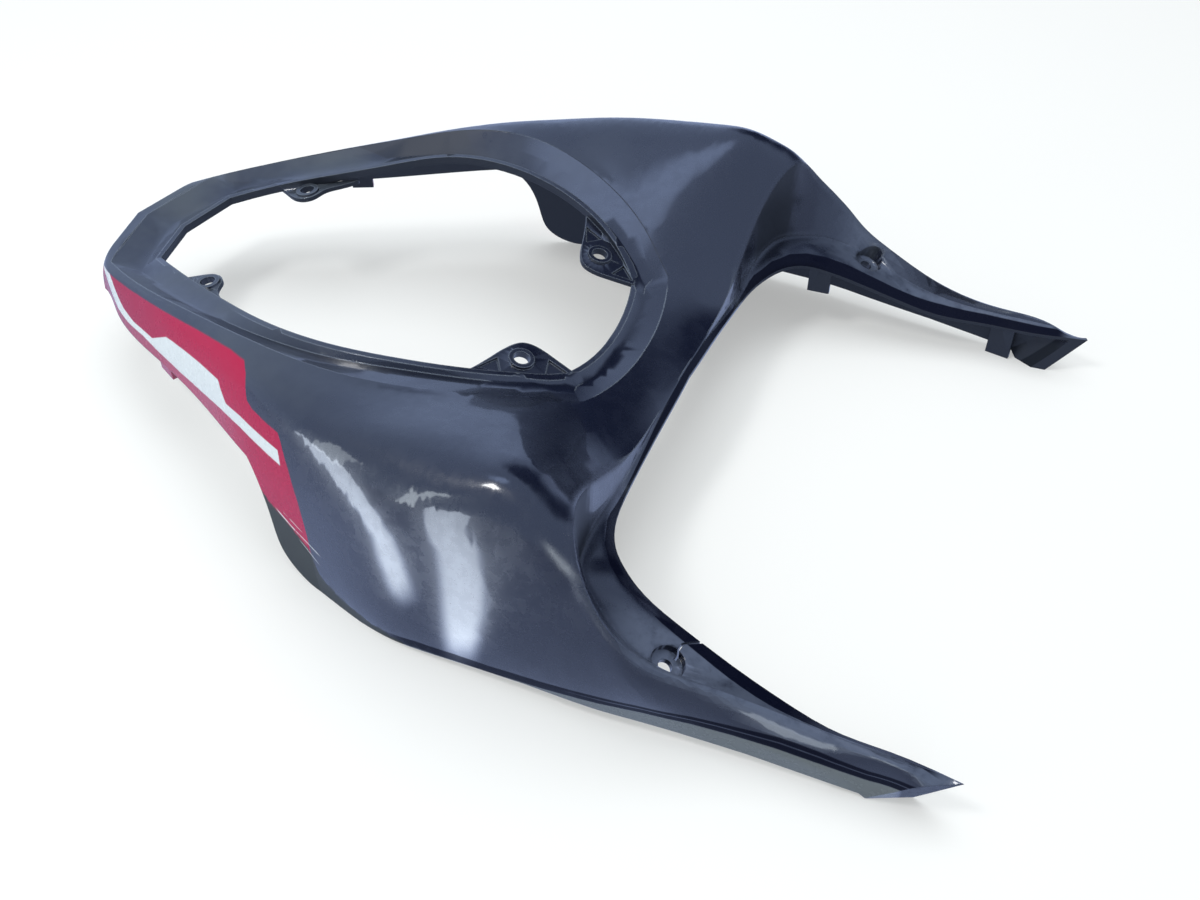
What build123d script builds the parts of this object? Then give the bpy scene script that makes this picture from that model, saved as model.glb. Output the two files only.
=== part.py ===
from build123d import *
from math import atan2, cos, hypot, radians, sin
import os

# Tail fairing of a motorcycle, moulded in one piece and open underneath.
# Millimetres. X points forward, Y to the left, Z up. The origin is on the middle plane, half way
# along, at the level on which the fairing rests: two flank bottoms and two leg ends touch it.
# The left half is modelled and mirrored, and what only one side has is cut last.

# The moulding
WALL = 2.6                    # thickness of the skin
LEG_END_WALL = 4.2             # thickness of the leg's closed end
BASE = -14.0                  # every section runs down to here before the lower edge is trimmed
SKY = 170.0                   # well above the moulding
OVERLAP = 4.0                 # how far half-side tools reach past the middle plane

# The seat opening and its frame
LIP_WIDTH = 3.2               # flat top of the raised lip round the opening
SKIRT_DEPTH = 5.0             # the lip's wall hangs this far below its top
RIM_RUN = 2.0                 # the frame's outer rim rises this far beyond its crease
RIM_RISE = 3.0
SLOPE_SHARE = 1.12            # drop of a sloping inner face, in walls

# Ears that carry the pillion seat
EAR_PLATE = 2.6
EAR_HOLE = 8.6
EAR_RING = 14.0               # raised ring round each hole
EAR_RING_HEIGHT = 1.5
EAR_POCKET_DEPTH = 1.2
FRONT_EAR = (11.1, 49.8, 86.0)
FRONT_EAR_TILT = 14.0         # degrees, the plates follow the lip, down towards the front
REAR_EAR = (-187.3, 51.1, 75.4)
REAR_EAR_TILT = -8.0

# Bolt holes in the legs
LEG_HOLE = (141.9, 167.4, 42.6)
LEG_BOLT = 7.0                # clearance for a 6 mm screw
LEG_RECESS = 17.0
LEG_RECESS_DEPTH = 3.4
LEG_BOSS = 22.0
LEG_SEAT = 3.2                # thickness under the screw's flange
LEG_AXIS_TILT = 20.0          # degrees, the axis leans forward with the leg

# Tongues that hang from the underside: middle of the foot, length along the edge, and heading
TONGUE_THICKNESS = 3.0
TONGUES = [
    ((118.6, 142.5, 30.0), 13.5, 5.0, 20.0),
    ((231.0, 165.2, 0.2), 14.5, -8.0, 26.0),
    ((-182.0, 102.0, 50.5), 13.5, 26.0, 12.0),
]

# Crack from the right leg's recess to the edge of the front cut-out, in plan
CRACK = [(142.8, -162), (143.7, -155.3), (151.5, -145), (152.6, -145.8), (144.8, -155.6),
         (143.8, -162)]

# Half sections of the outer skin, from the middle plane over the shoulder and down the flank.
# Each has its station along X, its points (y, z), and the share by which the skin below the last
# point leans inwards.
SECTIONS = [
    (-292, [(0, 66), (12, 66), (20, 65.8), (27, 65), (32, 63.4), (36.5, 60.6), (39.5, 57),
            (40.5, 52), (41, 44), (41.5, 30), (42, 12)], 0),
    (-262, [(0, 69), (16, 69), (28, 69), (38, 68.8), (46, 68), (51.5, 65.8), (54.4, 62),
            (55.8, 57), (56.6, 50), (57.2, 38), (57.5, 12)], 0),
    (-250, [(0, 72), (20, 72), (36, 72), (47, 71.6), (54.5, 70.6), (60, 67.6), (63, 63),
            (64.8, 57), (66, 48), (67, 32), (67.5, 12)], 0),
    (-235, [(0, 76), (20, 76), (38, 76), (53, 75.5), (62, 74.5), (68, 70), (72.5, 63.5),
            (76, 56), (79, 46), (81, 30), (82, 12)], 0),
    (-190, [(0, 88), (26, 88), (50, 87.5), (70, 86.8), (82, 85.6), (89, 81), (94, 73),
            (98, 63), (101.5, 50), (104, 32), (105, 12)], 0),
    (-145, [(0, 100), (32, 100), (60, 99.5), (84, 98.3), (99, 96.5), (108, 92), (114, 83),
            (119, 70), (123, 53), (126, 34), (127.5, 12)], 0),
    (-95, [(0, 110), (36, 110), (70, 109.5), (98, 108.3), (115, 106.6), (126, 104.5), (135, 98.5),
           (142, 86), (147.5, 66), (151.5, 42), (153.5, 14)], 0),
    (-50, [(0, 110), (38, 110), (74, 109), (100, 107), (117, 106.3), (132, 108.6), (146, 107.5),
           (156, 101), (163, 84), (167, 55), (169, 14)], 0),
    (-5, [(0, 96), (36, 96.5), (68, 97), (92, 98), (106, 101), (125, 107.5), (145, 113),
          (160, 111.5), (172, 99), (179, 66), (182.4, 12)], 0.12),
    (40, [(0, 77), (28, 77.5), (50, 79), (68, 84), (92, 95), (118, 107), (140, 115.5),
          (158, 118), (172, 109), (180.5, 76), (184.2, 15)], 0.15),
    (70, [(0, 68.5), (28, 69), (52, 70.5), (76, 75.5), (98, 85), (119, 97), (138, 109),
          (155, 116.5), (169, 111), (179.5, 79), (184.4, 18)], 0.15),
    (86, [(0, 65.8), (30, 64), (58, 62.8), (82, 67.5), (99, 75), (117, 84), (136, 96),
          (152, 105.5), (167, 107), (179, 80), (184.6, 19)], 0.15),
    (98, [(0, 62), (30, 60.5), (58, 60), (82, 64), (99, 70.5), (118, 80), (137, 91.5),
          (153, 99.5), (167, 98.5), (179.5, 77), (184.8, 20)], 0.15),
    (112, [(0, 57), (30, 56), (58, 56.5), (84, 60), (104, 65), (124, 71.5), (142, 78),
           (158, 83.5), (171, 83.5), (181, 74), (184.8, 22)], 0.15),
    (130, [(0, 52), (30, 51.5), (58, 52), (86, 54), (108, 56.5), (130, 59.5), (149, 62),
           (164, 63.5), (176, 62.5), (184.6, 54), (183.8, 23)], 0.15),
    (150, [(0, 46), (34, 46.5), (66, 47), (97, 48), (121, 49), (141, 50), (156, 51),
           (168, 51.6), (176, 50.4), (181.6, 40), (180.4, 17)], 0.12),
    (185, [(0, 37), (45, 38), (86, 39), (120, 39.6), (145, 40), (157, 40.2), (163, 40),
           (167, 39.4), (170.5, 38), (176.4, 28), (176, 9)], 0),
    (225, [(0, 31), (46, 31.5), (88, 32), (123, 32.4), (148, 32.6), (160, 32.6), (164, 32.5),
           (167, 32.2), (169.8, 31), (173.6, 22), (173.2, 6)], 0),
    (258, [(0, 29.6), (46, 29.8), (88, 30), (123, 30.1), (148, 30.2), (159, 30.2), (163, 30.1),
           (166.5, 29.8), (169.3, 28.6), (171.6, 20), (171.2, 5)], 0),
    (282, [(0, 29.6), (46, 29.8), (88, 30), (123, 30.1), (148, 30.2), (159, 30.2), (163, 30.1),
           (166.5, 29.8), (169.3, 28.6), (171.6, 20), (171.2, 5)], 0),
]

# Seat frame, each loop as rear edge, side and front edge from the middle plane round to it.
CREASE = [
    [(-272.5, 0, 66.8), (-259.8, 49.6, 67.9)],
    [(-259.8, 49.6, 67.9), (-222, 69, 77), (-165, 91.5, 91.2), (-104, 112, 104.9),
     (-66, 117.2, 107.2), (-28, 109.8, 103), (8, 92.3, 96), (29, 77, 89.2), (41, 66.3, 82.7),
     (50.2, 57.8, 77.7)],
    [(50.2, 57.8, 77.7), (57.4, 31, 72.6), (59.6, 0, 70.4)],
]
VALLEY = [
    [(-257, 0, 62.5), (-241, 46.5, 64.5)],
    [(-241, 46.5, 64.5), (-207, 63, 74.5), (-155, 85.5, 87), (-102, 98.2, 95.2),
     (-71, 98.8, 97), (-36, 91.5, 95.8), (-4, 79.5, 91.3),
     (20.1, 65.3, 84.8), (31.3, 56.3, 80.4), (41, 46.5, 75.5)],
    [(41, 46.5, 75.5), (45, 24, 70.5), (46, 0, 68)],
]
OPENING = [
    [(-244, 0, 66), (-235, 34.5, 68)],
    [(-235, 34.5, 68), (-200, 53, 77.5), (-150, 75, 88.5), (-106, 90.5, 98.2),
     (-74, 93, 100.4), (-40, 87.6, 99.2), (-8, 76, 94.6),
     (14.4, 62.3, 88.6), (24.9, 53.5, 84.5), (34, 43.5, 80)],
    [(34, 43.5, 80), (38.5, 23, 75.5), (39.5, 0, 73)],
]

# Front cut-out for the rider's seat, from the middle plane along the crossbar and out over the
# leg: its free edge, the crease of the bevel behind it, the foot of the hip's inner wall behind
# the flat web, and the crest above that wall.
FREE_EDGE = [(86.5, 0, 61.8), (86.2, 45, 56.8), (86, 84, 50.6), (88.6, 104, 50.8),
             (95.5, 120.5, 52.2), (104, 130.5, 52.4), (112, 136.4, 50.6), (122, 140.8, 47.2),
             (136, 144.4, 42.8), (150, 147, 38.2), (170, 150.3, 31.8), (192, 153.8, 26.4),
             (218, 159, 24.6), (250, 160.6, 25.8), (282.6, 165, 27.6), (296, 167, 27.6)]
BEVEL_CREASE = [(84.5, 0, 64.4), (84, 45, 59.8), (83.2, 85, 54.4), (85.2, 107, 55),
                (91.5, 124.5, 56), (99.5, 136, 56.4), (108, 142.8, 55), (118.5, 147.4, 52.6),
                (133, 151.6, 47.6), (148, 154.4, 41.6), (169, 158, 33.6), (192, 161.6, 29),
                (218, 163.8, 28.3), (250, 164.4, 29), (282.6, 167.4, 29.4), (296, 169.4, 29.4)]
WALL_FOOT = [(83.9, 0, 65), (83.4, 45, 60.4), (82.4, 86, 55.4), (82.2, 108, 56),
             (83, 127, 56.8), (86.5, 143, 57.2), (91.5, 151, 57.2), (99, 157.5, 56.4),
             (110, 164.4, 54.4), (124, 170.6, 49.2), (142, 171.4, 43.2), (168, 168.4, 34.8),
             (200, 166, 29.8), (246, 166.6, 29.6), (282.6, 168.4, 29.8), (296, 170.4, 29.8)]
CREST = [(83.5, 0, 69.5), (83.1, 45, 66.5), (82, 86, 73), (81.4, 107, 83),
         (82.2, 124, 92.5), (85.3, 141, 103.5), (89.6, 154.5, 110.5), (94.8, 166.5, 104.5),
         (103.6, 176, 88.5), (117.6, 182.4, 72), (136.6, 181.8, 58), (165.8, 174.4, 47),
         (199, 168.6, 38), (246, 168, 33), (282.6, 169, 32.6), (296, 171, 32.6)]

# Lower edge in side view: under the tail, the step down behind the flank, and along the flank
# and the leg.
TAIL_EDGE = [(-300, 47), (-262, 50), (-190, 55.5), (-145, 58.8), (-97, 60.5)]
STEP_EDGE = [(-97, 60.5), (-87, 49), (-80.5, 28), (-76, 12), (-66, 3.4), (-50, 0.6)]
FLANK_EDGE = [(-50, 0.6), (-20, 0), (20, 4.5), (75, 8.5), (130, 8.6), (185, 7.2), (222, 4.6),
              (238, 3.2), (242, 0), (300, 0)]

# End faces: the tail is closed by a sloping wall on each side, the leg is cut off at a slant.
TAIL_WALL_START = (-279.7, 0, 67.8)
TAIL_WALL_SLOPE = 1.0         # degrees from upright, leaning back towards the bottom
LEG_END = [(279.4, 164.8, 28), (263, 171.8, 26), (258.5, 163, 0)]

# Inner edges of the ears in plan, measured from their holes
FRONT_EAR_EDGE = [(-28, 42), (-20.5, 26), (-14.6, 9.6), (-9.4, -5.6), (-4.6, -11.8), (2, -13.4),
                  (13, -11.8), (25, -9.2), (36, -7)]
REAR_EAR_EDGE = [(-35, 4), (-22, 0.8), (-12, -4.6), (-4.5, -8.2), (2.6, -8), (7.2, -3.8), (9.6, 3.5),
                 (16, 10), (25, 19)]
FRONT_EAR_POCKETS = [[(-16.5, 18), (-11, 6), (-5, 14)], [(12, -8.8), (24, -6.4), (15, 1.5)]]


def moved_inwards(points, distance):
    """Each point of a section moved square to the skin, towards the inside."""
    inner = []
    for i, (y, z) in enumerate(points):
        before = points[max(i - 1, 0)]
        after = points[min(i + 1, len(points) - 1)]
        run, rise = after[0] - before[0], after[1] - before[1]
        length = hypot(run, rise)
        inner.append((y + distance * rise / length, z - distance * run / length))
    return inner


def shared_parameters(lines):
    """Knots that all these lines share, from the mean length of their chords."""
    sums = [0.0] * len(lines[0])
    for line in lines:
        total = 0.0
        for i in range(1, len(line)):
            total += hypot(*(b - a for a, b in zip(line[i - 1], line[i])))
            sums[i] += total
    return [value / sums[-1] for value in sums]


def hull(inset):
    """Half of the solid under the skin, or under its inner face when there is an inset."""
    lines = []
    for x, points, lean in SECTIONS:
        points = moved_inwards(points, inset) if inset else points
        base = BASE - inset
        last_y, last_z = points[-1]
        lines.append((x, points + [(last_y - lean * (last_z - base), base)]))
    knots = shared_parameters([points for _, points in lines])
    start = -OVERLAP if inset else 0
    wires = []
    for x, points in lines:
        top = [Vector(x, start, points[0][1])] + [Vector(x, y, z) for y, z in points[1:]]
        middle = (x, start, points[-1][1])
        wires.append(Wire([Edge.make_spline(top, tangents=[(0, 1, 0), (0, 0, -1)], parameters=knots),
                           Edge.make_line(top[-1], middle), Edge.make_line(middle, top[0])]))
    return Solid.make_loft(wires)


def grown(line, distance, drop=0.0):
    """A line moved away from its opening in plan by a distance, and down by a drop."""
    moved = []
    for i, (x, y, z) in enumerate(line):
        before, after = line[max(i - 1, 0)], line[min(i + 1, len(line) - 1)]
        run, rise = after[0] - before[0], after[1] - before[1]
        length = hypot(run, rise)
        side = run if y else 0
        moved.append((x - distance * rise / length, y + distance * side / length, z - drop))
    return moved


def grown_loop(stretches, distance, drop=0.0):
    """A loop of stretches moved in the same way. Where two meet, both ends move alike."""
    line = [p for i, stretch in enumerate(stretches) for p in (stretch if i == 0 else stretch[1:])]
    moved = grown(line, distance, drop)
    result, first = [], 0
    for stretch in stretches:
        result.append(moved[first:first + len(stretch)])
        first += len(stretch) - 1
    return result


def levelled(stretches, z):
    return [[(x, y, z) for x, y, _ in stretch] for stretch in stretches]


def half_loop(stretches):
    """Closed wire of the stretches, closed by straight lines past the middle plane."""
    first, last = stretches[0][0], stretches[-1][-1]
    start = (first[0], -OVERLAP, first[2])
    end = (last[0], -OVERLAP, last[2])
    edges = [Edge.make_line(start, first)]
    for stretch in stretches:
        points = [Vector(*p) for p in stretch]
        edges.append(Edge.make_line(*points) if len(points) == 2 else Edge.make_spline(points))
    edges += [Edge.make_line(last, end), Edge.make_line(end, start)]
    return Wire(edges)


def stepped_tool(loops):
    """Solid through a stack of loops, the first and last of them level."""
    return Solid.make_loft([half_loop(loop) for loop in loops], ruled=True)


def frame_tool():
    """What the seat frame and the opening take out of the outer form."""
    rim = grown_loop(CREASE, RIM_RUN, -RIM_RISE)
    lip = grown_loop(OPENING, LIP_WIDTH)
    return stepped_tool([levelled(rim, SKY), rim, CREASE, VALLEY, lip, OPENING,
                         levelled(OPENING, 2 * BASE)])


def frame_core_tool():
    """The same, one wall lower, for the inner form: it leaves a skirt round the opening."""
    drop = WALL * SLOPE_SHARE
    rim = grown_loop(CREASE, RIM_RUN, drop - RIM_RISE)
    crease = grown_loop(CREASE, 0, drop)
    valley = grown_loop(VALLEY, 0, drop)
    under_lip = grown_loop(OPENING, WALL, WALL)
    skirt_foot = grown_loop(OPENING, WALL, SKIRT_DEPTH)
    inside = grown_loop(OPENING, -1.0, SKIRT_DEPTH)
    return stepped_tool([levelled(rim, SKY), rim, crease, valley, under_lip, skirt_foot, inside,
                         levelled(inside, 2 * BASE)])


def cut_out_loop(line, knots, z=None):
    """Closed wire of a line of the front cut-out, squared off ahead of the leg."""
    points = [Vector(x, y, height if z is None else z) for x, y, height in line]
    start = Vector(points[0].X, -OVERLAP, points[0].Z)
    corner = Vector(points[-1].X, -OVERLAP, points[-1].Z)
    return Wire([Edge.make_line(start, points[0]),
                 Edge.make_spline(points, parameters=knots),
                 Edge.make_line(points[-1], corner), Edge.make_line(corner, start)])


def cut_out_tool(wall):
    """Front cut-out with its web and bevel. For the inner form it lies one wall further in."""
    lines = [grown(CREST, wall), grown(WALL_FOOT, wall, wall), grown(BEVEL_CREASE, 0, wall),
             grown(FREE_EDGE, -0.8 if wall else 0, wall)]
    knots = shared_parameters(lines)
    wires = [cut_out_loop(line, knots) for line in lines]
    return Solid.make_loft([cut_out_loop(lines[0], knots, SKY), *wires,
                            cut_out_loop(lines[-1], knots, 2 * BASE)], ruled=True)


def trimmed_ends(solid, inset, leg_inset):
    """Cut the tail off at its sloping wall and the leg at its slant."""
    (x0, y0, _), (x1, y1, _) = CREASE[0]
    heading = atan2(y1 - y0, x1 - x0)
    lean = radians(TAIL_WALL_SLOPE)
    outwards = Vector(-sin(heading) * cos(lean), cos(heading) * cos(lean), sin(lean))
    start = Vector(*TAIL_WALL_START) - outwards * inset
    solid = solid.split(Plane(start, z_dir=outwards), keep=Keep.BOTTOM)
    tip, outer, foot = (Vector(*p) for p in LEG_END)
    ahead = (outer - tip).cross(foot - tip).normalized()
    if ahead.X < 0:
        ahead = -ahead
    return solid.split(Plane(tip - ahead * leg_inset, z_dir=ahead), keep=Keep.BOTTOM)


def below_lower_edge():
    """Everything under the lower edge, as seen from the side."""
    tail = Spline(*[Vector(x, 0, z) for x, z in TAIL_EDGE])
    step = Spline(*[Vector(x, 0, z) for x, z in STEP_EDGE])
    flank = Polyline(*[Vector(x, 0, z) for x, z in FLANK_EDGE])
    first, last = TAIL_EDGE[0], FLANK_EDGE[-1]
    under = Polyline((last[0], 0, last[1]), (last[0], 0, 3 * BASE), (first[0], 0, 3 * BASE),
                     (first[0], 0, first[1]))
    face = Face(Wire(tail.edges() + step.edges() + flank.edges() + under.edges()))
    return extrude(face, amount=250, dir=(0, 1, 0)) + extrude(face, amount=10, dir=(0, -1, 0))


outer_form = trimmed_ends(hull(0), 0, 0) - frame_tool() - cut_out_tool(0)
inner_form = trimmed_ends(hull(WALL), WALL, LEG_END_WALL) - frame_core_tool() - cut_out_tool(WALL)
half = outer_form - inner_form - below_lower_edge()
lip_middle = levelled(grown_loop(OPENING, 0.6 * WALL), BASE)
inside_lip = Solid.extrude(Face(half_loop(lip_middle)), (0, 0, SKY))


def ear(hole, tilt, edge, pockets):
    """Plate with a ring round its hole, grown from the wall of the lip."""
    at = Plane(origin=hole, x_dir=(cos(radians(tilt)), 0, -sin(radians(tilt))),
               z_dir=(sin(radians(tilt)), 0, cos(radians(tilt))))
    back = [(edge[-1][0], 60), (edge[0][0], 60)]
    rim = Spline(*edge) + Polyline(edge[-1], *back, edge[0])
    outline = make_face(rim)
    plate = extrude(outline, -EAR_PLATE)
    ring = Cylinder(EAR_RING / 2, EAR_RING_HEIGHT, align=(Align.CENTER, Align.CENTER, Align.MIN))
    plate += ring & extrude(outline, EAR_RING_HEIGHT)
    for corners in pockets:
        pocket = make_face(Polyline(*corners, corners[0]))
        plate -= extrude(Pos(0, 0, -EAR_POCKET_DEPTH) * pocket, EAR_POCKET_DEPTH)
    plate -= Cylinder(EAR_HOLE / 2, 30)
    return (at.location * plate) & inside_lip


def tongue(foot, length, heading, height):
    """Upright tongue, cut off where it meets the underside of the skin."""
    block = Box(length, TONGUE_THICKNESS, height,
                align=(Align.CENTER, Align.CENTER, Align.MIN))
    return Pos(*foot) * (Rot(0, 0, heading) * block)


half += ear(FRONT_EAR, FRONT_EAR_TILT, FRONT_EAR_EDGE, FRONT_EAR_POCKETS)
half += ear(REAR_EAR, REAR_EAR_TILT, REAR_EAR_EDGE, [])
for foot, length, heading, height in TONGUES:
    half += tongue(foot, length, heading, height) & outer_form

leg_axis = Plane(origin=LEG_HOLE, x_dir=(cos(radians(LEG_AXIS_TILT)), 0, -sin(radians(LEG_AXIS_TILT))),
                 z_dir=(sin(radians(LEG_AXIS_TILT)), 0, cos(radians(LEG_AXIS_TILT)))).location
boss = Cylinder(LEG_BOSS / 2, 20, align=(Align.CENTER, Align.CENTER, Align.MIN))
half += (leg_axis * Pos(0, 0, -LEG_RECESS_DEPTH - LEG_SEAT) * boss) & outer_form
recess = Cylinder(LEG_RECESS / 2, 20, align=(Align.CENTER, Align.CENTER, Align.MIN))
half -= leg_axis * Pos(0, 0, -LEG_RECESS_DEPTH) * recess
half -= leg_axis * Cylinder(LEG_BOLT / 2, 60)

os.makedirs("parts", exist_ok=True)
fairing = half + mirror(half, about=Plane.XZ)
crack = make_face(Polyline(*CRACK, CRACK[0]))
fairing -= extrude(Pos(0, 0, LEG_HOLE[2] - 20) * crack, 40)
export_step(fairing, "parts/tail_fairing.step")
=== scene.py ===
"""Motorcycle tail fairing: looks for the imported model."""

import bpy
import bmesh
from mathutils import Matrix, Vector


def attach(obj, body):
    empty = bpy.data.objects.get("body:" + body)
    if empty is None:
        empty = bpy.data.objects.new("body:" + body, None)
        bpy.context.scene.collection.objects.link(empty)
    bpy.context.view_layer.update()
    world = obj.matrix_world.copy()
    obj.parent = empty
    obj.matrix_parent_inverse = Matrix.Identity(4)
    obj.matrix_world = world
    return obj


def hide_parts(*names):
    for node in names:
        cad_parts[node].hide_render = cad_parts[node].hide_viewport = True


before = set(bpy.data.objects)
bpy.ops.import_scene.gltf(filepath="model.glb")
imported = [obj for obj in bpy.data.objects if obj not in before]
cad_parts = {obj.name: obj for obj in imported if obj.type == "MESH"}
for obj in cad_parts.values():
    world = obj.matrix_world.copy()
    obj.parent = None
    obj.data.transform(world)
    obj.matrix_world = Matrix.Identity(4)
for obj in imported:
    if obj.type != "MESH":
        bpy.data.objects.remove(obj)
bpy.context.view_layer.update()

MM = 1000.0                   # patterns on the piece are drawn in millimetres

# Camera: where the photograph was taken from, for a picture of 1200 by 900.
CAMERA_AT = Vector((0.2580, -0.5036, 0.5240))
LOOK = Vector((-0.29099, 0.65315, -0.69909))
UPWARDS = Vector((-0.28450, 0.63858, 0.71504))
RIGHTWARDS = Vector((0.91345, 0.40696, 0.0))
LENS = 39.0
SENSOR_WIDTH = 36.0

# Colours of the light, the floor and the room, and what the gloss mirrors of them
BLUISH = (0.85, 0.94, 1.0)
BACKDROP_WHITE = (1, 1, 0.98, 1)
FLOOR_WHITE = (0.90, 0.915, 0.90, 1)
FLOOR_MIRRORED = (0.40, 0.50, 0.80, 1)
STREAK_MIRRORED = (0.74, 0.84, 1.0, 1)
ROOM_LIGHT = (0.92, 0.96, 1.0, 1)
ROOM_MIRRORED = (0.50, 0.64, 1.0, 1)
FAR_SIDE_MIRRORED = (0.02, 0.03, 0.08, 1)

# Lamps: name, place, what it points at, width, length, power, colour and whether the gloss
# mirrors it
LAMPS = [
    ("ceiling", (-0.1, 0.3, 1.7), (0, 0, 0.05), 1.3, 1.3, 13, (0.94, 0.97, 1.0), False),
    ("window_left", (-1.20, -0.90, 0.30), (0, -0.1, 0.1), 0.16, 0.60, 0.9, BLUISH, True),
    ("window_right", (-0.78, -1.28, 0.40), (0, -0.1, 0.1), 0.14, 0.80, 2.0, BLUISH, True),
    ("window_front", (0.42, -1.45, 0.22), (0.2, -0.17, 0.03), 0.35, 0.40, 1.6, BLUISH, True),
    ("lamp", (-0.45, -0.65, 1.4), (0, 0, 0.05), 0.3, 0.3, 7, (1, 1, 1), True),
]

FLOOR_SIZE = 12
FLOOR_WHITENING = 0.35        # share of plain white in the floor that the camera sees

# Bright streaks on the floor as the gloss mirrors them, in metres: where each one starts, a
# point that it runs towards, and its half width at the start
STREAKS = [((-0.020, -0.224), (-0.132, -0.288), 0.014),
           ((0.034, -0.198), (-0.125, -0.558), 0.012)]
STREAK_SPREAD = 0.10          # growth of the half width along a streak
STREAK_GLOW = 6.5             # how much brighter than the floor a streak is

# The room around the piece: its light, and the directions of the dark and the bright patch in
# what the gloss mirrors
ROOM_STRENGTH = 0.62
MIRRORED_STRENGTH = 1.05
BRIGHT_PATCH_GLOW = 2.2
DARK_PATCH_AT = (0.094, 0.894, 0.438)
BRIGHT_PATCH_AT = (-0.273, 0.145, 0.951)

# Colours of the piece
PAINT_DEEP = (0.0035, 0.0050, 0.013, 1)
PAINT_SMEARED = (0.005, 0.007, 0.016, 1)
# painted shade, in the roll above the lower edge, on the leg's end and on the bevel
PAINTED_SHADE = (0.003, 0.004, 0.012, 1)
DUST = (0.10, 0.12, 0.13, 1)
# painted reflection of the floor, on the strip below the roll
STRIP_FLOOR_REFLECTION = (0.12, 0.135, 0.135, 1)
# painted sheen on the tops of the legs
PAINTED_LEG_SHEEN = (0.085, 0.105, 0.15, 1)
RED = (0.40, 0.001, 0.040, 1)
RED_AT_TAIL = (0.33, 0.014, 0.055, 1)
RED_BELOW_STRIPE = (0.38, 0.20, 0.28, 1)
WHITE_FILM = (0.66, 0.71, 0.72, 1)
RUBBED = (0.045, 0.052, 0.055, 1)
SCRATCHED = (0.62, 0.64, 0.66, 1)
# painted highlight along the sharper edges
PAINTED_EDGE_HIGHLIGHT = (0.20, 0.235, 0.27, 1)
BARE_PLASTIC = (0.011, 0.014, 0.020, 1)

# Roughness of the piece's surfaces
PAINT_ROUGH = (0.22, 0.34)    # from its smoothest to its roughest spots
DUST_ROUGH = 0.6
WORN_ROUGH = 0.75
LEG_SHEEN_ROUGH = 0.45
BARE_ROUGH = 0.45
COAT = 0.8
COAT_ROUGH = 0.05

# Rounding of the edges in the shading, in metres
EDGE_RADIUS = 0.0009
SOFT_EDGE_RADIUS = 0.006      # where the hips run down into the legs

MERGE_WITHIN = 2e-6           # corners of triangles nearer than this are one, in metres
SHARP_ANGLE = 0.26            # an edge that turns more than this stays sharp, in radians

# Film on the flanks of the tail. The red field lies below RED_TOP, as x and z, and outside
# RED_INNER, as x and distance from the middle. The white stripe lies between its two edges, as
# x and z.
RED_TOP = [(-290, 57.5), (-251, 67), (-228, 72), (-203, 78.6), (-180, 84.7), (-159, 90),
           (-139, 95), (-120, 99.6), (-106, 102), (-101, 100), (-96, 92), (-91, 91),
           (-79, 91.6), (-68, 92.5), (-65, 88), (-59, 75.6), (-55, 62.5), (-52, 44),
           (-50.5, 20), (-49.5, 0), (-40, 0)]
RED_INNER = [(-290, 38), (-251, 56), (-228, 67), (-203, 78.5), (-180, 88), (-159, 97),
             (-139, 105), (-120, 112.5), (-106, 119), (-96, 133), (-79, 142), (-59, 156),
             (-40, 158)]
STRIPE_TOP = [(-290, 70), (-257, 66.6), (-250, 65.4), (-242.8, 63.1), (-236.9, 61.8),
              (-231.5, 61), (-218, 61.4), (-207.8, 63.1), (-196, 64.6), (-181, 73.6),
              (-174, 75.2), (-155, 78.8), (-144, 80.9), (-124.5, 84.4), (-122, 82),
              (-116, 77.5), (-101.5, 80.4), (-83, 82.3), (-68, 83.5), (-66, 75), (-60, 60)]
STRIPE_FOOT = [(-290, 66), (-260.6, 62), (-250.8, 58), (-239.3, 56.3), (-232, 56.8),
               (-225.5, 57.2), (-206.5, 60.2), (-188, 60.8), (-166, 62.6), (-144, 66),
               (-122, 70.6), (-102, 74), (-83, 75.5), (-66, 76), (-60, 76)]
FILM_BLUR = 0.35              # half width of the soft edge of the film

# Bevel along the free inner edge of the crossbar and the legs, painted with shade, as x and
# distance from the middle
INNER_EDGE = [(83.5, 0), (84.2, 60), (85.2, 107), (91.5, 124.5), (99.5, 136), (108, 142.8),
              (118.5, 147.4), (133, 151.6), (148, 154.4), (169, 158), (192, 161.6),
              (218, 163.8), (250, 164.4), (290, 168)]

# Rolled line above the lower edge of the flank and the leg, along which shade is painted on the
# roll and the floor's reflection on the strip below, as x and z
FOLD = [(-50, -6), (-30, -2), (-5, 4), (16, 8.5), (57, 10.5), (84, 14), (111, 19), (135, 23),
        (159, 24.5), (199, 24.3), (218, 22.5), (240, 19), (259, 19.5), (290, 22)]

# Top of the rubbed lower corner of the right flank, as x and z, and the scratches above it:
# start, end and half width
RUB_TOP = [(-95, 52), (-76, 43), (-71, 41), (-60, 36), (-52, 30), (-46, 15), (-33, 10),
           (-12, 8), (8, 5), (14, -6)]
SCRATCHES = [((-76, 43.5), (-58, 36), 0.9), ((-66, 39), (-42, 32), 0.5),
             ((-70, 45), (-54, 40), 0.4), ((-60, 33), (-44, 24), 0.4)]


def set_up_camera():
    data = bpy.data.cameras.new("camera")
    data.lens, data.sensor_width = LENS, SENSOR_WIDTH
    camera = bpy.data.objects.new("camera", data)
    turn = Matrix((RIGHTWARDS, UPWARDS, -LOOK)).transposed()
    camera.matrix_world = Matrix.Translation(CAMERA_AT) @ turn.to_4x4()
    bpy.context.scene.collection.objects.link(camera)
    bpy.context.scene.camera = camera


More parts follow.
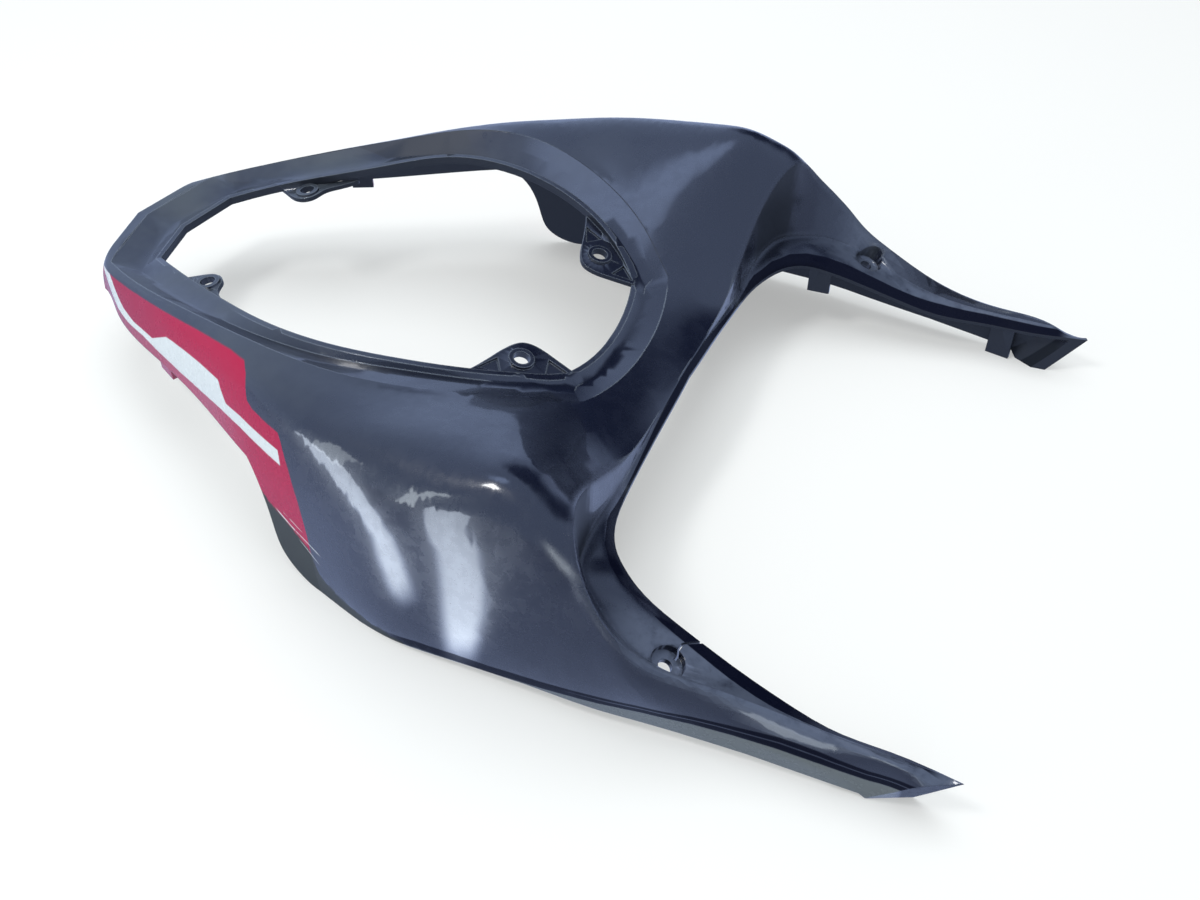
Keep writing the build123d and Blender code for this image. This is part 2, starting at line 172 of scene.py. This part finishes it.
def area_lamp(name, at, towards, width, length, power, colour, mirrored):
    data = bpy.data.lights.new(name, "AREA")
    data.shape = "RECTANGLE"
    data.size, data.size_y = width, length
    data.energy = power
    data.color = colour
    lamp = bpy.data.objects.new(name, data)
    lamp.location = at
    lamp.rotation_mode = "QUATERNION"
    lamp.rotation_quaternion = (Vector(towards) - Vector(at)).to_track_quat("-Z", "Y")
    lamp.visible_glossy = mirrored
    bpy.context.scene.collection.objects.link(lamp)


class Nodes:
    """Short way to build a shader tree. A mask is a number from 0 to 1."""

    def __init__(self, tree):
        self.tree = tree
        self.tree.nodes.clear()

    def add(self, kind, **settings):
        node = self.tree.nodes.new(kind)
        for name, value in settings.items():
            setattr(node, name, value)
        return node

    def put(self, value, socket):
        """Link a socket to another, or set it to a plain value."""
        if isinstance(value, bpy.types.NodeSocket):
            self.tree.links.new(value, socket)
        else:
            socket.default_value = value

    def maths(self, operation, *values, clamp=False):
        node = self.add("ShaderNodeMath", operation=operation, use_clamp=clamp)
        for value, socket in zip(values, node.inputs):
            self.put(value, socket)
        return node.outputs[0]

    def all_of(self, *masks):
        result = masks[0]
        for mask in masks[1:]:
            result = self.maths("MULTIPLY", result, mask)
        return result

    def any_of(self, *masks):
        result = masks[0]
        for mask in masks[1:]:
            result = self.maths("MAXIMUM", result, mask)
        return result

    def outside(self, mask):
        return self.maths("SUBTRACT", 1.0, mask)

    def dot(self, first, second):
        node = self.add("ShaderNodeVectorMath", operation="DOT_PRODUCT")
        self.put(first, node.inputs[0])
        self.put(second, node.inputs[1])
        return node.outputs["Value"]

    def weighted(self, x, y, x_share, y_share, rest):
        """Sum of x and y, each times its share, and the rest."""
        return self.maths("ADD", self.maths("MULTIPLY_ADD", x, x_share, rest),
                          self.maths("MULTIPLY", y, y_share))

    def mixed(self, share, first, second):
        """Colour between two others."""
        node = self.add("ShaderNodeMix", data_type="RGBA")
        self.put(share, node.inputs[0])
        self.put(first, node.inputs[6])
        self.put(second, node.inputs[7])
        return node.outputs[2]

    def mixed_number(self, share, first, second):
        node = self.add("ShaderNodeMix", data_type="FLOAT")
        self.put(share, node.inputs[0])
        self.put(first, node.inputs[2])
        self.put(second, node.inputs[3])
        return node.outputs[0]

    def mixed_shader(self, share, first, second):
        node = self.add("ShaderNodeMixShader")
        for value, socket in zip((share, first, second), node.inputs):
            self.put(value, socket)
        return node.outputs[0]

    def glow(self, kind, colour, strength=1.0):
        """Emission or background of one colour."""
        node = self.add(kind)
        self.put(colour, node.inputs[0])
        self.put(strength, node.inputs[1])
        return node.outputs[0]

    def ramp(self, value, low, high):
        """0 below low, 1 above high, smooth between. Runs down when low is above high."""
        node = self.add("ShaderNodeMapRange", interpolation_type="SMOOTHSTEP")
        self.put(value, node.inputs[0])
        node.inputs[1].default_value = min(low, high)
        node.inputs[2].default_value = max(low, high)
        if low > high:
            node.inputs[3].default_value, node.inputs[4].default_value = 1.0, 0.0
        return node.outputs[0]

    def band(self, value, low, high, blur):
        return self.all_of(self.ramp(value, low - blur, low + blur),
                           self.ramp(value, high + blur, high - blur))

    def noise(self, place, scale, detail, roughness):
        node = self.add("ShaderNodeTexNoise")
        self.put(place, node.inputs["Vector"])
        node.inputs["Scale"].default_value = scale
        node.inputs["Detail"].default_value = detail
        node.inputs["Roughness"].default_value = roughness
        return node.outputs["Fac"]

    def line_over_x(self, x, points):
        """Height over x, both in millimetres, along straight lines between the points."""
        x0, x1 = points[0][0], points[-1][0]
        low, high = min(p[1] for p in points), max(p[1] for p in points)
        share = self.maths("DIVIDE", self.maths("SUBTRACT", x, x0), x1 - x0, clamp=True)
        node = self.add("ShaderNodeFloatCurve")
        curve = node.mapping.curves[0]
        places = [((px - x0) / (x1 - x0), (pz - low) / (high - low)) for px, pz in points]
        curve.points[0].location = places[0]
        curve.points[-1].location = places[-1]
        for place in places[1:-1]:
            curve.points.new(*place)
        for point in curve.points:
            point.handle_type = "VECTOR"
        node.mapping.update()
        self.put(share, node.inputs["Value"])
        return self.maths("MULTIPLY_ADD", node.outputs[0], high - low, low)

    def beyond_line(self, value, x, points):
        """How far a value lies beyond a line over x."""
        return self.maths("SUBTRACT", value, self.line_over_x(x, points))


def floor_streaks(n):
    """Two bright streaks beside the right flank, wider the further they run."""
    place = n.add("ShaderNodeSeparateXYZ")
    n.put(n.add("ShaderNodeTexCoord").outputs["Object"], place.inputs[0])
    x, y = place.outputs[0], place.outputs[1]
    streaks = []
    for (ax, ay), (bx, by), width in STREAKS:
        length = ((bx - ax) ** 2 + (by - ay) ** 2) ** 0.5
        ux, uy = (bx - ax) / length, (by - ay) / length
        along = n.weighted(x, y, ux, uy, -ax * ux - ay * uy)
        across = n.maths("ABSOLUTE", n.weighted(x, y, -uy, ux, ax * uy - ay * ux))
        spread = n.maths("SUBTRACT", across, n.maths("MULTIPLY", along, STREAK_SPREAD))
        streaks.append(n.all_of(n.ramp(spread, width, 0.2 * width), n.ramp(along, -0.02, 0.01)))
    return n.any_of(*streaks)


def white_floor():
    bpy.ops.mesh.primitive_plane_add(size=FLOOR_SIZE, location=(0, 0, 0))
    floor = bpy.context.object
    floor.name = "floor"
    material = bpy.data.materials.new("floor_white")
    material.use_nodes = True
    n = Nodes(material.node_tree)
    shader = n.add("ShaderNodeBsdfPrincipled")
    shader.inputs["Base Color"].default_value = FLOOR_WHITE
    shader.inputs["Roughness"].default_value = 0.8
    shader.inputs["Specular IOR Level"].default_value = 0.1
    rays = n.add("ShaderNodeLightPath")
    white = n.glow("ShaderNodeEmission", BACKDROP_WHITE)
    whitening = n.maths("MULTIPLY", rays.outputs["Is Camera Ray"], FLOOR_WHITENING)
    seen = n.mixed_shader(whitening, shader.outputs[0], white)

    # In the gloss the floor is a bluish white with the streaks on it.
    streaks = floor_streaks(n)
    mirrored = n.glow("ShaderNodeEmission", n.mixed(streaks, FLOOR_MIRRORED, STREAK_MIRRORED),
                      n.maths("MULTIPLY_ADD", streaks, STREAK_GLOW, 1.0))
    output = n.add("ShaderNodeOutputMaterial")
    n.put(n.mixed_shader(rays.outputs["Is Glossy Ray"], seen, mirrored), output.inputs[0])
    floor.data.materials.append(material)


def room_around():
    world = bpy.data.worlds.new("room")
    bpy.context.scene.world = world
    world.use_nodes = True
    n = Nodes(world.node_tree)
    rays = n.add("ShaderNodeLightPath")
    room = n.glow("ShaderNodeBackground", ROOM_LIGHT, ROOM_STRENGTH)

    # What the gloss mirrors: a bluish room, dark beyond the far side of the piece and bright
    # above it.
    direction = n.add("ShaderNodeTexCoord").outputs["Generated"]
    dark = n.ramp(n.dot(direction, DARK_PATCH_AT), 0.86, 0.96)
    bright = n.ramp(n.dot(direction, BRIGHT_PATCH_AT), 0.972, 0.996)
    mirrored = n.glow("ShaderNodeBackground", n.mixed(dark, ROOM_MIRRORED, FAR_SIDE_MIRRORED),
                      n.maths("MULTIPLY_ADD", bright, BRIGHT_PATCH_GLOW, MIRRORED_STRENGTH))
    lit = n.mixed_shader(rays.outputs["Is Glossy Ray"], room, mirrored)
    backdrop = n.glow("ShaderNodeBackground", BACKDROP_WHITE)
    output = n.add("ShaderNodeOutputWorld")
    n.put(n.mixed_shader(rays.outputs["Is Camera Ray"], lit, backdrop), output.inputs[0])


class Spot:
    """A point of the piece as the shader sees it: place in millimetres, and facing."""

    def __init__(self, n):
        self.place = n.add("ShaderNodeTexCoord").outputs["Object"]
        parts = n.add("ShaderNodeSeparateXYZ")
        n.put(self.place, parts.inputs[0])
        self.x = n.maths("MULTIPLY", parts.outputs[0], MM)
        self.y = n.maths("MULTIPLY", parts.outputs[1], MM)
        self.z = n.maths("MULTIPLY", parts.outputs[2], MM)
        self.side = n.maths("ABSOLUTE", self.y)
        self.on_right = n.ramp(self.y, 1.0, -1.0)

        normal = n.add("ShaderNodeSeparateXYZ")
        n.put(n.add("ShaderNodeNewGeometry").outputs["True Normal"], normal.inputs[0])
        self.forwards = normal.outputs[0]
        self.upwards = normal.outputs[2]
        self.outwards = n.maths("MULTIPLY", normal.outputs[1], n.maths("SIGN", self.y))

        # The outer face looks up or away from the middle. The inner walls of the hips and legs
        # look towards the middle, and are outer face too where they look up a little.
        facing = n.maths("MULTIPLY_ADD", self.upwards, 0.6, self.outwards)
        hip_wall = n.all_of(n.ramp(self.upwards, 0.06, 0.14), n.ramp(self.x, 62.0, 70.0),
                            n.ramp(self.z, 18.0, 24.0))
        self.outer = n.any_of(n.ramp(facing, -0.12, -0.02), hip_wall)


def rolled_edge(n, spot):
    """Masks of the painted shade in the roll above the lower edge of the flank and the leg, and
    of the painted reflection of the floor on the strip below.
    """
    above = n.beyond_line(spot.z, spot.x, FOLD)
    on_flank = n.all_of(spot.outer, n.ramp(spot.outwards, 0.15, 0.3),
                        n.ramp(spot.x, -20.0, 10.0))
    bright_line = n.all_of(n.band(above, 0.2, 0.8, 0.25), n.ramp(spot.x, 90.0, 130.0))
    roll = n.all_of(on_flank, n.band(above, -3.4, 3.2, 0.4), n.outside(bright_line))
    strip = n.all_of(on_flank, n.ramp(above, -3.0, -3.8))
    return roll, strip


def painted_dark_edges(n, spot):
    """Mask of painted shade on the leg's slanted end and on the bevel along the free inner edge.
    """
    leg_end = n.all_of(n.ramp(spot.x, 252.0, 256.0), n.ramp(spot.forwards, 0.2, 0.3),
                       n.ramp(spot.upwards, 0.1, -0.05))
    bevel = n.all_of(n.ramp(n.beyond_line(spot.side, spot.x, INNER_EDGE), 0.3, -0.3),
                     n.ramp(spot.x, 83.5, 84.2), n.ramp(spot.upwards, 0.2, 0.4),
                     n.ramp(spot.x, 272.0, 262.0))
    return n.any_of(leg_end, bevel)


def film_on_tail(n, spot):
    """Masks of the red field and the white stripe on it, and the colour of the red."""
    below_top = n.ramp(n.beyond_line(spot.z, spot.x, RED_TOP), FILM_BLUR, -FILM_BLUR)
    outside_inner = n.ramp(n.beyond_line(spot.side, spot.x, RED_INNER), -0.5, 0.5)
    red = n.all_of(spot.outer, below_top, outside_inner, n.ramp(spot.x, -268.0, -266.0))
    under_edge = n.ramp(n.beyond_line(spot.z, spot.x, STRIPE_TOP), FILM_BLUR, -FILM_BLUR)
    over_edge = n.ramp(n.beyond_line(spot.z, spot.x, STRIPE_FOOT), -FILM_BLUR, FILM_BLUR)
    white = n.all_of(red, under_edge, over_edge)

    below_stripe = n.all_of(red, n.ramp(spot.x, -85.0, -140.0), n.outside(over_edge))
    shade = n.mixed(n.ramp(spot.x, -150.0, -240.0), RED, RED_AT_TAIL)
    shade = n.mixed(n.maths("MULTIPLY", below_stripe, 0.35), shade, RED_BELOW_STRIPE)
    return red, white, shade


def rubbed_corner(n, spot, fine):
    """Mask of the worn lower corner of the right flank, with a ragged top."""
    ragged = n.maths("MULTIPLY_ADD", fine, 9.0, -5.0)
    top = n.maths("ADD", ragged, n.line_over_x(spot.x, RUB_TOP))
    return n.all_of(spot.outer, n.ramp(spot.outwards, 0.45, 0.7),
                    n.ramp(n.maths("SUBTRACT", spot.z, top), 1.0, -1.0),
                    n.ramp(spot.x, -90.0, -84.0), n.ramp(spot.x, 14.0, 6.0), spot.on_right)


def scratch(n, spot, fine, start, end, width):
    """Mask of one broken, straight scratch on the right flank."""
    slope = (end[1] - start[1]) / (end[0] - start[0])
    line = n.maths("MULTIPLY_ADD", spot.x, slope, start[1] - slope * start[0])
    away = n.maths("ABSOLUTE", n.maths("SUBTRACT", spot.z, line))
    return n.all_of(spot.outer, n.ramp(spot.outwards, 0.5, 0.8), n.ramp(away, width, 0.3 * width),
                    n.ramp(n.maths("SUBTRACT", spot.x, start[0]), 0.0, 4.0),
                    n.ramp(n.maths("SUBTRACT", spot.x, end[0]), 0.0, -4.0),
                    n.ramp(fine, 0.38, 0.48), spot.on_right)


def rounded_edges(n, spot):
    """Normal over the rounded edges, and the mask of the sharper ones, which get a painted pale
    highlight.
    """
    soft = n.all_of(n.ramp(spot.x, 68.0, 76.0), n.ramp(spot.z, 44.0, 50.0),
                    n.ramp(spot.side, 70.0, 90.0))
    rounded = n.add("ShaderNodeBevel", samples=4)
    n.put(n.mixed_number(soft, EDGE_RADIUS, SOFT_EDGE_RADIUS), rounded.inputs["Radius"])
    plain = n.add("ShaderNodeNewGeometry").outputs["Normal"]
    edge_highlight = n.all_of(spot.outer, n.ramp(n.dot(plain, rounded.outputs[0]), 0.998, 0.990),
                      n.ramp(spot.upwards, 0.1, 0.4), n.outside(soft),
                      n.ramp(spot.x, 120.0, 90.0))
    return rounded.outputs[0], edge_highlight


def painted_plastic():
    material = bpy.data.materials.new("painted_plastic")
    material.use_nodes = True
    n = Nodes(material.node_tree)
    spot = Spot(n)
    smear = n.noise(spot.place, 14.0, 4.0, 0.6)
    fine = n.noise(spot.place, 120.0, 5.0, 0.65)

    # Paint, with dust that gathers towards the tail and on the level faces.
    dust = n.all_of(n.ramp(spot.x, 60.0, -260.0), n.ramp(spot.upwards, 0.35, 0.95),
                    n.ramp(smear, 0.30, 0.72))
    colour = n.mixed(n.ramp(smear, 0.35, 0.7), PAINT_DEEP, PAINT_SMEARED)
    colour = n.mixed(n.maths("MULTIPLY", dust, 0.55), colour, DUST)

    # Painted shade in the roll above the lower edge and on the dark edges, and a painted
    # reflection of the floor on the strip below the roll; these mirror less.
    roll, strip = rolled_edge(n, spot)
    dark = painted_dark_edges(n, spot)
    painted_shade_and_reflection = n.any_of(roll, dark, n.maths("MULTIPLY", strip, 0.7))
    bright = n.outside(painted_shade_and_reflection)
    colour = n.mixed(strip, colour, STRIP_FLOOR_REFLECTION)
    colour = n.mixed(roll, colour, PAINTED_SHADE)
    colour = n.mixed(dark, colour, PAINTED_SHADE)

    # Painted sheen on the upward faces of the legs: paler and rougher paint in place of a
    # reflection.
    leg_sheen = n.all_of(spot.outer, n.ramp(spot.x, 96.0, 135.0), n.ramp(spot.upwards, 0.3, 0.7),
                    n.ramp(spot.side, 148.0, 156.0), n.ramp(fine, 0.1, 0.6), bright)
    colour = n.mixed(n.maths("MULTIPLY", leg_sheen, 0.7), colour, PAINTED_LEG_SHEEN)

    red, white, shade = film_on_tail(n, spot)
    colour = n.mixed(red, colour, shade)
    colour = n.mixed(white, colour, WHITE_FILM)

    # Wear on the right flank, and a painted highlight on the sharper edges.
    worn = rubbed_corner(n, spot, fine)
    colour = n.mixed(worn, colour, RUBBED)
    for start, end, width in SCRATCHES:
        mark = scratch(n, spot, fine, start, end, width)
        colour = n.mixed(mark, colour, SCRATCHED)
        worn = n.any_of(worn, mark)
    normal, edge_highlight = rounded_edges(n, spot)
    colour = n.mixed(n.maths("MULTIPLY", edge_highlight, 0.55), colour, PAINTED_EDGE_HIGHLIGHT)

    # The inside is bare plastic.
    colour = n.mixed(spot.outer, BARE_PLASTIC, colour)
    rough = n.mixed_number(n.ramp(fine, 0.3, 0.75), *PAINT_ROUGH)
    rough = n.mixed_number(dust, rough, DUST_ROUGH)
    rough = n.mixed_number(worn, rough, WORN_ROUGH)
    rough = n.mixed_number(n.maths("MULTIPLY", leg_sheen, 0.6), rough, LEG_SHEEN_ROUGH)
    rough = n.mixed_number(spot.outer, BARE_ROUGH, rough)

    # Clear coat, weaker under dust and on the film, and none where shade or the floor's
    # reflection is painted in or the paint is worn.
    coat = n.all_of(spot.outer, bright, n.outside(worn), n.maths("MULTIPLY_ADD", dust, -0.7, 1.0),
                    n.maths("MULTIPLY_ADD", red, -0.8, 1.0))
    mirroring = n.all_of(n.maths("MULTIPLY_ADD", bright, 0.42, 0.08),
                         n.maths("MULTIPLY_ADD", red, -0.4, 1.0))

    shader = n.add("ShaderNodeBsdfPrincipled")
    n.put(colour, shader.inputs["Base Color"])
    n.put(rough, shader.inputs["Roughness"])
    n.put(n.maths("MULTIPLY", coat, COAT), shader.inputs["Coat Weight"])
    n.put(COAT_ROUGH, shader.inputs["Coat Roughness"])
    n.put(mirroring, shader.inputs["Specular IOR Level"])
    n.put(normal, shader.inputs["Normal"])
    n.put(normal, shader.inputs["Coat Normal"])
    output = n.add("ShaderNodeOutputMaterial")
    n.put(shader.outputs[0], output.inputs[0])
    return material


def merged_copy(name, node):
    """Smooth-shaded copy of a CAD node, with its loose triangles joined."""
    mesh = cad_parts[node].data.copy()
    work = bmesh.new()
    work.from_mesh(mesh)
    bmesh.ops.remove_doubles(work, verts=work.verts, dist=MERGE_WITHIN)
    work.to_mesh(mesh)
    work.free()
    mesh.name = name
    mesh.shade_smooth()
    mesh.set_sharp_from_angle(angle=SHARP_ANGLE)
    piece = bpy.data.objects.new(name, mesh)
    bpy.context.scene.collection.objects.link(piece)
    even = piece.modifiers.new("even_shading", "WEIGHTED_NORMAL")
    even.keep_sharp = True
    return piece


set_up_camera()
white_floor()
room_around()
for lamp in LAMPS:
    area_lamp(*lamp)

fairing = merged_copy("fairing", "tail_fairing")
fairing.data.materials.clear()
fairing.data.materials.append(painted_plastic())
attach(fairing, "root")
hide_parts("tail_fairing")

bpy.context.scene.view_settings.view_transform = "Standard"
